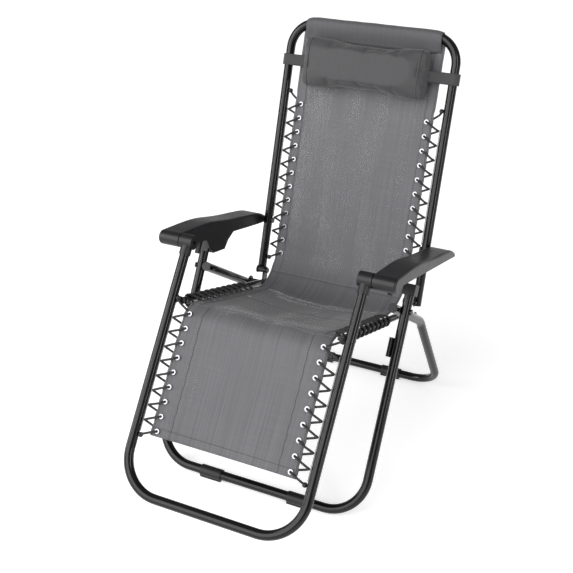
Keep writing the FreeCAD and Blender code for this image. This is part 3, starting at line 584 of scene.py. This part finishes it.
def sag_depth(row):
    """How far the middle of the cloth hangs behind its edges."""
    distance = PROFILE.distance[row]
    lumbar = PROFILE.distance[LUMBAR_ROW]
    knee = PROFILE.distance[KNEE_ROW]
    back = 0.011 * ease(distance, 0.0, 0.18) * (1 - ease(distance, lumbar - 0.2, lumbar))
    seat = 0.015 * ease(distance, lumbar - 0.02, lumbar + 0.14) * (1 - ease(distance, knee - 0.12, knee))
    calf = 0.009 * ease(distance, knee + 0.02, knee + 0.16)
    return back + seat + calf + 0.002


def cloth_place(row, share):
    """A place on the sling at a row and a share of the half width from -1 to 1."""
    panel = panel_of_row(row)
    half = half_width(row) - scallop(row, panel)
    x = half * share
    crown = 1 - share * share
    place = PROFILE.places[row]
    distance = PROFILE.distance[row]
    ripple = noise.noise(Vector((x * 16, distance * 5, 0.3))) * 0.0022 * crown
    drawn = noise.noise(Vector((x * 30, distance * 30, 4.1))) * 0.0011 * abs(share) ** 3
    past_knee = distance - PROFILE.distance[KNEE_ROW]
    knee_pull = 0.0025 * math.exp(-(past_knee / 0.03) ** 2) * math.cos(x * 48) * crown
    lift = -sag_depth(row) * crown + ripple + drawn - knee_pull
    return place + PROFILE.normals[row] * lift + Vector((x, 0.0, 0.0))


def cloth_grid(first, last, shares, lift=0.0):
    """Vertices, faces and UVs of the cloth between two rows."""
    verts, faces, uvs = [], [], []
    for row in range(first, last + 1):
        half = half_width(row)
        for share in shares:
            verts.append(cloth_place(row, share) + PROFILE.normals[row] * lift)
            uvs.append((half * share, PROFILE.distance[row]))
    wide = len(shares)
    for row in range(last - first):
        for column in range(wide - 1):
            start = row * wide + column
            faces.append((start, start + wide, start + wide + 1, start + 1))
    return verts, faces, uvs


def hem_share(row):
    """The share of the half width where the side hem begins."""
    hem = CALF_HEM if row >= KNEE_ROW else BACK_HEM
    return 1 - hem / half_width(row)


def build_sling():
    """The sling as four stretches of one sheet, split at the two hinges and at the middle of the seat."""
    lumbar = PROFILE.distance[LUMBAR_ROW]
    knee = PROFILE.distance[KNEE_ROW]
    seat_middle = PROFILE.row_at((lumbar + knee) / 2)
    last = len(PROFILE.places) - 1

    def place_at(distance):
        return PROFILE.places[PROFILE.row_at(distance)]

    stretches = [
        ("back", 0, LUMBAR_ROW,
         ("back_carriers", "back", place_at(lumbar), place_at(lumbar - HINGE_ZONE))),
        ("lumbar", LUMBAR_ROW, seat_middle,
         ("seat", "back_carriers", place_at(lumbar + HINGE_ZONE), place_at(lumbar))),
        ("knee", seat_middle, KNEE_ROW,
         ("seat", "footrest_carriers", place_at(knee - 0.05), place_at(knee))),
        ("calf", KNEE_ROW, last,
         ("footrest_carriers", "footrest", place_at(knee), place_at(knee + 0.06))),
    ]
    replaced = {"back": "sling_back", "lumbar": "sling_seat", "calf": "sling_calf"}
    columns = round(2 * BACK_HALF / CLOTH_STEP)
    shares = [-1 + 2 * index / columns for index in range(columns + 1)]
    for name, start, end, bend in stretches:
        cloth = mesh_piece("sling_%s_cloth" % name, *cloth_grid(start, end, shares), SLING)
        hems = []
        for side in (-1, 1):
            inner = min(hem_share(row) for row in range(start, end + 1))
            strip = [side * (inner + (1 - inner) * step / 6) for step in range(7)]
            if side < 0:
                strip.reverse()
            hems.append(cloth_grid(start, end, strip, -HEM_LIFT))
        if end == last:
            foot_hem = PROFILE.row_at(PROFILE.length - BOTTOM_HEM)
            hems.append(cloth_grid(foot_hem, end, shares, -2 * HEM_LIFT))
        hem = mesh_piece("sling_%s_hem" % name, *merged(hems), HEM)
        stitches = mesh_piece("sling_%s_stitches" % name,
                              *stitch_rows(start, end, end == last), THREAD)
        for piece in (cloth, hem, stitches):
            if piece is not stitches:
                solidify(piece, CLOTH_THICK if piece is cloth else CLOTH_THICK * 0.7)
            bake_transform(piece)
        if name in replaced:
            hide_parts(replaced[name])


def stitch_rows(first, last, with_foot):
    """Short raised stitches along the hem's inner line and near its outer edge."""
    parts = []
    for row in range(first, last):
        inner = hem_share(row) + 0.012
        for share in (inner, 0.975):
            for side in (-1, 1):
                start = cloth_place(row, side * share)
                end = cloth_place(row + 1, side * share)
                lift = PROFILE.normals[row] * (CLOTH_THICK * 0.5 + 0.0003)
                run = end - start
                parts.append(tube_arrays([start + run * 0.15 + lift, start + run * 0.5 + lift * 1.25,
                                          start + run * 0.85 + lift], THREAD_RADIUS, 5))
    if with_foot:
        row = PROFILE.row_at(PROFILE.length - BOTTOM_HEM) + 1
        count = round(2 * CALF_HALF / CLOTH_STEP)
        for index in range(count):
            shares = [-1 + 2 * (index + part) / count for part in (0.15, 0.5, 0.85)]
            lift = PROFILE.normals[row] * (CLOTH_THICK * 0.5 + 0.0004)
            line = [cloth_place(row, share) + lift for share in shares]
            parts.append(tube_arrays(line, THREAD_RADIUS, 5))
    return merged(parts)


# ---------------------------------------------------------------- top sleeve

def bar_place(x, lift, drop):
    """A place near the back frame's top bar: it follows the bar, and its bends past the bar's ends."""
    bar = PROFILE.bar_centre()
    corner = FRAME_X - BACK_BEND
    over = max(abs(x) - corner, 0.0)
    fall = BACK_BEND - math.sqrt(max(BACK_BEND ** 2 - over ** 2, 0.0))
    return bar + BACK.along * (fall + drop) + BACK.normal * lift + Vector((x, 0.0, 0.0))


def sleeve_outline(flare):
    """The sleeve's section as (lift, drop) pairs: down the front, over the bar and down behind."""
    radius = SLEEVE_RADIUS + flare
    outline = []
    for step in range(6):
        share = step / 6
        outline.append((0.0022 + (radius - 0.0022) * ease(share, 0, 1), SLEEVE_DEPTH * (1 - share)))
    for step in range(17):
        angle = math.pi * step / 16
        outline.append((radius * math.cos(angle), -radius * math.sin(angle)))
    for step in range(1, 7):
        share = step / 6
        outline.append((-radius + (radius - 0.0028) * ease(share, 0, 1), SLEEVE_DEPTH * share))
    return outline


def build_top_sleeve():
    """The cloth pocket that the top bar runs through, with its seam and stitches."""
    verts, faces, uvs = [], [], []
    columns = 60
    section = sleeve_outline(0.0)
    for column in range(columns + 1):
        x = SLEEVE_REACH * (2 * column / columns - 1)
        edge = abs(x) / SLEEVE_REACH
        ripple = 0.0009 * noise.noise(Vector((x * 30, 1.7, 0.0)))
        flare = ripple + 0.0012 * ease(edge, 0.86, 1.0)
        around = 0.0
        previous = None
        for lift, drop in sleeve_outline(flare):
            shrink = 1 - 0.25 * ease(edge, 0.82, 1.0) * ease(drop, 0.0, 0.05)
            pucker = noise.noise(Vector((x * 55, drop * 40, 2.0))) * 0.0007
            place = bar_place(x, lift + math.copysign(pucker, lift), drop * shrink)
            if previous is not None:
                around += (place - previous).length
            previous = place
            verts.append(place)
            uvs.append((x, around))
    wide = len(section)
    for column in range(columns):
        for index in range(wide - 1):
            start = column * wide + index
            faces.append((start, start + 1, start + wide + 1, start + wide))
    sleeve = mesh_piece("sling_top_sleeve", verts, faces, uvs, HEM)
    solidify(sleeve, CLOTH_THICK)
    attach(sleeve, "back")
    parts = []
    for side in (1, -1):
        for index in range(SEAM_STITCHES):
            start = -SEAM_HALF + 2 * SEAM_HALF * index / SEAM_STITCHES
            line = [bar_place(start + step, side * 0.0042, 0.044) for step in (0.0006, 0.002, 0.0036)]
            parts.append(tube_arrays(line, THREAD_RADIUS, 5))
    seam = mesh_piece("sling_top_stitches", *merged(parts), THREAD)
    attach(seam, "back")


# ---------------------------------------------------------------- lacing

def knot(place, seed):
    """A small round knot that ends a lace."""
    work = bmesh.new()
    bmesh.ops.create_icosphere(work, subdivisions=3, radius=KNOT_RADIUS)
    for vertex in work.verts:
        turn = math.atan2(vertex.co.y, vertex.co.x)
        groove = 1 + 0.16 * math.sin(9 * turn + 6 * vertex.co.z / KNOT_RADIUS)
        rough = 1 + 0.08 * noise.noise(vertex.co * 300 + Vector((seed, 0, 0)))
        vertex.co = vertex.co * groove * rough + place
    verts = [vertex.co.copy() for vertex in work.verts]
    faces = [tuple(vertex.index for vertex in face.verts) for face in work.faces]
    work.free()
    return verts, faces, [(spot.x * 30, spot.z) for spot in verts]


def hooked_lace(panel, side):
    """A lace that runs from each eyelet out to the hook wire and back behind the cloth."""
    eyelet_x = panel.side_x
    first = panel.marks[0] - 0.75 * panel.pitch
    # (sideways, lift, share of the pitch past the eyelet)
    turn = [(eyelet_x + 0.014, -0.0062, -0.22), (eyelet_x + 0.0035, -0.0056, -0.04),
            (eyelet_x - 0.0005, 0.0002, 0.0), (eyelet_x + 0.0035, 0.0058, 0.04),
            (eyelet_x + 0.016, 0.0062, 0.2), (FRAME_HOOK_X - 0.006, 0.0048, 0.42),
            (FRAME_HOOK_X, 0.0002, 0.5), (FRAME_HOOK_X - 0.006, -0.0046, 0.58)]
    line = [panel.at(side * (FRAME_HOOK_X + 0.001), 0.002, first - 0.004),
            panel.at(side * (FRAME_HOOK_X - 0.004), -0.0045, first + 0.006)]
    for index, mark in enumerate(panel.marks):
        slack = 0.0012 * math.sin(index * 2.3)
        for x, lift, share in turn:
            shift = slack if share == 0.2 else 0.0
            line.append(panel.at(side * x, lift, mark + share * panel.pitch + shift))
    end = line[-2]
    body = tube_arrays(smooth_line(line[:-1], 5), CORD_RADIUS, 9)
    return merged([body, knot(line[0], side), knot(end, side + 5)])


def railed_lace(panel, side):
    """A lace that goes from each eyelet over the seat rail, round it and back under the cloth."""
    eyelet_x = panel.side_x
    diagonal = RAIL_WRAP * math.sqrt(0.5)
    # (sideways, lift, share of the pitch past the eyelet)
    turn = [(eyelet_x + 0.009, -0.0066, -0.1), (eyelet_x, 0.0, 0.0), (eyelet_x + 0.009, 0.0072, 0.08),
            (SEAT_RAIL_X - 0.006, RAIL_WRAP, 0.2), (SEAT_RAIL_X + diagonal, diagonal, 0.32),
            (SEAT_RAIL_X + diagonal, -diagonal, 0.5), (SEAT_RAIL_X - 0.006, -RAIL_WRAP, 0.66)]
    line = [panel.at(side * x, lift, mark + share * panel.pitch)
            for mark in panel.marks for x, lift, share in turn]
    body = tube_arrays(smooth_line(line, 5), CORD_RADIUS, 9)
    return merged([body, knot(line[0], side), knot(line[-1], side + 3)])


def build_lacing():
    """All six laces."""
    for panel_name, panel, body, lace in (
            ("back", BACK, "back", hooked_lace), ("seat", SEAT, "seat", railed_lace),
            ("calf", CALF, "footrest", hooked_lace)):
        for side_name, side in (("left", 1), ("right", -1)):
            piece = mesh_piece("%s_lace_%s" % (panel_name, side_name), *lace(panel, side), CORD)
            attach(piece, body)
            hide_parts("%s_lacing_%s" % (panel_name, side_name))


# ---------------------------------------------------------------- pillow and straps

def panel_matrix(panel, place):
    """Local axes at a place: X sideways, Y up the back, Z towards the sitter."""
    up = -panel.along
    out = panel.normal
    matrix = Matrix.Identity(4)
    for row in range(3):
        matrix[row][0] = 1.0 if row == 0 else 0.0
        matrix[row][1] = up[row]
        matrix[row][2] = out[row]
        matrix[row][3] = place[row]
    return matrix


def pillow_frame():
    """The pillow's middle and its half width, from its CAD solid."""
    low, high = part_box("pillow")
    centre = (low + high) / 2
    mark = BACK.mark_of(centre)
    lift = (centre - BACK.origin).dot(BACK.normal)
    return BACK.at(0, lift, mark), (high.x - low.x) / 2


def inflate(piece, pressure, cap, shrink):
    """Puff a closed form with a short cloth simulation, then hold every point within cap of its start."""
    remesh = piece.modifiers.new("remesh", "REMESH")
    remesh.mode = "VOXEL"
    remesh.voxel_size = PILLOW_VOXEL
    bpy.context.view_layer.objects.active = piece
    bpy.ops.object.modifier_apply(modifier="remesh")
    start = np.array([vertex.co for vertex in piece.data.vertices])
    cloth = piece.modifiers.new("cloth", "CLOTH")
    cloth.settings.use_pressure = True
    cloth.settings.uniform_pressure_force = pressure
    cloth.settings.shrink_min = shrink
    cloth.settings.quality = 6
    cloth.settings.effector_weights.gravity = 0.0
    cloth.point_cache.frame_start = 1
    cloth.point_cache.frame_end = PILLOW_FRAMES
    for moment in range(1, PILLOW_FRAMES + 1):
        bpy.context.scene.frame_set(moment)
    bpy.ops.object.modifier_apply(modifier="cloth")
    bpy.context.scene.frame_set(1)
    puffed = np.array([vertex.co for vertex in piece.data.vertices])
    step = puffed - start
    length = np.linalg.norm(step, axis=1, keepdims=True)
    held = start + step * np.minimum(1.0, cap / np.maximum(length, 1e-9))
    piece.data.vertices.foreach_set("co", held.astype(np.float32).ravel())
    piece.data.update()


def build_pillow():
    """The stuffed head pillow with piped end seams, puffed by simulation."""
    centre, half = pillow_frame()
    work = bmesh.new()
    bmesh.ops.create_cube(work, size=2.0)
    bmesh.ops.subdivide_edges(work, edges=work.edges[:], cuts=15, use_grid_fill=True)
    for vertex in work.verts:
        x, y, z = vertex.co
        round_off = 1 - 0.20 * abs(y) ** 4
        end = 1 - 0.10 * abs(x) ** 8
        vertex.co = Vector((x * half * 0.985, y * PILLOW_HALF_UP * end * (1 - 0.10 * abs(z) ** 3),
                            z * PILLOW_HALF_OUT * round_off * end))
    mesh = bpy.data.meshes.new("head_pillow")
    work.to_mesh(mesh)
    work.free()
    pillow = bpy.data.objects.new("head_pillow", mesh)
    bpy.context.scene.collection.objects.link(pillow)
    inflate(pillow, 4.0, 0.012, -0.02)
    wrinkle_pillow(pillow, half)
    box_uvs(pillow)
    smoothing = pillow.modifiers.new("smooth", "SUBSURF")
    smoothing.levels = 1
    smoothing.render_levels = 1
    pillow.data.materials.clear()
    pillow.data.materials.append(PILLOW_CLOTH)
    pillow.data.shade_smooth()
    pillow.data.transform(panel_matrix(BACK, centre))
    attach(pillow, "head_pillow")
    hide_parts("pillow")
    build_piping(pillow, centre, half)
    build_straps(half)


def wrinkle_pillow(pillow, half):
    """Soft creases that gather towards the sewn ends, and a flat back where it lies on the sling."""
    for vertex in pillow.data.vertices:
        x, y, z = vertex.co
        near = ease(abs(x) / half, 0.55, 1.0)
        pull = noise.noise(Vector((x * 14, y * 60, z * 60))) * 0.0026 * near
        soft = noise.noise(Vector((x * 9, y * 16, 7.3))) * 0.0016
        out = Vector((0, y, z * 2)).normalized()
        vertex.co = vertex.co + out * (pull + soft)
        vertex.co.z = max(vertex.co.z, PILLOW_FLAT_BACK)


def box_uvs(piece):
    """UVs in metres from the dominant direction of each face."""
    mesh = piece.data
    layer = mesh.uv_layers.new(name="UVMap")
    for polygon in mesh.polygons:
        steep = abs(polygon.normal.y) > abs(polygon.normal.z)
        for loop in polygon.loop_indices:
            place = mesh.vertices[mesh.loops[loop].vertex_index].co
            layer.data[loop].uv = (place.x, place.z if steep else place.y)


def ring_section(pillow_mesh, x, matrix):
    """The pillow's outline at a distance sideways, as points round it."""
    inverse = matrix.inverted()
    places = [inverse @ vertex.co for vertex in pillow_mesh.vertices]
    outline = []
    for step in range(PIPING_POINTS):
        angle = 2 * math.pi * step / PIPING_POINTS
        direction = Vector((0, math.cos(angle), math.sin(angle)))
        best = max((place for place in places if abs(place.x - x) < 0.008),
                   key=lambda place: place.y * direction.y + place.z * direction.z)
        outline.append(Vector((x, best.y * 0.98, best.z * 0.98)))
    smoothed = []
    for index, place in enumerate(outline):
        before = outline[index - 1]
        after = outline[(index + 1) % len(outline)]
        smoothed.append((before + place * 2 + after) / 4)
    return smoothed


def build_piping(pillow, centre, half):
    """Corded piping round each end of the pillow."""
    matrix = panel_matrix(BACK, centre)
    parts = []
    for side in (-1, 1):
        outline = ring_section(pillow.data, side * half * 0.9, matrix)
        line = smooth_line([matrix @ place for place in outline + outline[:1]], 3)
        parts.append(tube_arrays(line, PIPING_RADIUS, 8))
    piping = mesh_piece("pillow_piping", *merged(parts), PILLOW_CLOTH)
    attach(piping, "head_pillow")


def build_straps(half):
    """Elastic bands from the pillow's ends round the back tubes."""
    low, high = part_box("pillow_straps")
    mark = BACK.mark_of((low + high) / 2)
    reach = high.x - FRAME_X
    parts = []
    for side in (-1, 1):
        section = [(half - 0.012, 0.030), (half + 0.012, 0.0235), (FRAME_X - 0.035, 0.0195),
                   (FRAME_X - 0.010, reach - 0.0015)]
        for step in range(1, 12):
            angle = math.pi / 2 - math.pi * step / 11
            section.append((FRAME_X + reach * math.cos(angle) * 0.985,
                            reach * math.sin(angle) * 0.985))
        section += [(FRAME_X - 0.012, -reach + 0.003), (FRAME_X - 0.032, -0.0105),
                    (half + 0.006, -0.0085)]
        line = smooth_line([Vector((x, lift, 0)) for x, lift in section], 4)
        parts.append(ribbon(line, side, mark))
    straps = mesh_piece("pillow_bands", *merged(parts), STRAP)
    solidify(straps, STRAP_THICK)
    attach(straps, "head_pillow")
    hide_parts("pillow_straps")


def ribbon(line, side, mark):
    """A flat band that follows (sideways, lift) points across the back tube."""
    verts, faces, uvs = [], [], []
    rows = 7
    distance = 0.0
    for index, place in enumerate(line):
        if index:
            distance += (place - line[index - 1]).length
        for row in range(rows):
            share = 2 * row / (rows - 1) - 1
            edge_curl = 0.0004 * share ** 4
            across = share * BAND_HEIGHT / 2
            verts.append(BACK.at(side * place.x, place.y + edge_curl, mark + across))
            uvs.append((across, distance))
    for index in range(len(line) - 1):
        for row in range(rows - 1):
            start = index * rows + row
            face = (start, start + 1, start + rows + 1, start + rows)
            faces.append(face if side > 0 else face[::-1])
    return verts, faces, uvs


# ---------------------------------------------------------------- stage, light and camera

def build_stage():
    """A plain pale floor."""
    bpy.ops.mesh.primitive_plane_add(size=FLOOR_SIZE)
    floor = bpy.context.object
    floor.name = "floor"
    material, _, shader = new_material("floor")
    shader.inputs["Base Color"].default_value = (0.86, 0.86, 0.86, 1)
    shader.inputs["Roughness"].default_value = 0.9
    shader.inputs["Emission Color"].default_value = (1, 1, 1, 1)
    shader.inputs["Emission Strength"].default_value = 0.45
    floor.data.materials.append(material)


def area_light(name, place, aim, size, power):
    """A soft box that points at a place."""
    light = bpy.data.lights.new(name, "AREA")
    light.shape = "RECTANGLE"
    light.size, light.size_y = size
    light.energy = power
    holder = bpy.data.objects.new(name, light)
    holder.location = place
    holder.rotation_euler = (Vector(aim) - Vector(place)).to_track_quat("-Z", "Y").to_euler()
    bpy.context.scene.collection.objects.link(holder)


def build_light():
    """Soft studio light from the front and both sides."""
    world = bpy.data.worlds.new("studio")
    bpy.context.scene.world = world
    bpy.context.scene.view_settings.view_transform = "Standard"
    world.use_nodes = True
    world.node_tree.nodes["Background"].inputs["Color"].default_value = (1, 1, 1, 1)
    world.node_tree.nodes["Background"].inputs["Strength"].default_value = 0.3
    sun = bpy.data.lights.new("skylight", "SUN")
    sun.energy = 3.0
    sun.angle = math.radians(60)
    holder = bpy.data.objects.new("skylight", sun)
    holder.rotation_euler = Vector((-0.3, -0.85, 0.5)).to_track_quat("Z", "Y").to_euler()
    bpy.context.scene.collection.objects.link(holder)
    middle = (0, 0, 0.5)
    area_light("strip_left", (-2.4, -1.4, 1.5), middle, (0.35, 2.2), 32)
    area_light("strip_right", (2.3, -0.9, 1.5), middle, (0.35, 2.2), 26)


def build_camera():
    """The camera: a little to the sitter's left, looking down at the chair from the front."""
    azimuth = math.radians(25.64)
    elevation = math.radians(26.04)
    roll = math.radians(0.73)
    distance = 2.5664
    target = Vector((0.0, -0.053, 0.5264))
    back = Vector((math.sin(azimuth) * math.cos(elevation), -math.cos(azimuth) * math.cos(elevation),
                   math.sin(elevation)))
    right = Vector((math.cos(azimuth), math.sin(azimuth), 0))
    up = back.cross(right)
    right_rolled = right * math.cos(roll) + up * math.sin(roll)
    up_rolled = up * math.cos(roll) - right * math.sin(roll)
    camera = bpy.data.cameras.new("camera")
    camera.sensor_width = 36
    camera.lens = 62.53
    holder = bpy.data.objects.new("camera", camera)
    matrix = Matrix((right_rolled, up_rolled, back)).transposed().to_4x4()
    matrix.translation = target + back * distance
    holder.matrix_world = matrix
    bpy.context.scene.collection.objects.link(holder)
    bpy.context.scene.camera = holder


build_camera()
build_stage()
build_light()
dress_cad_nodes()
build_sling()
build_top_sleeve()
build_lacing()
build_pillow()
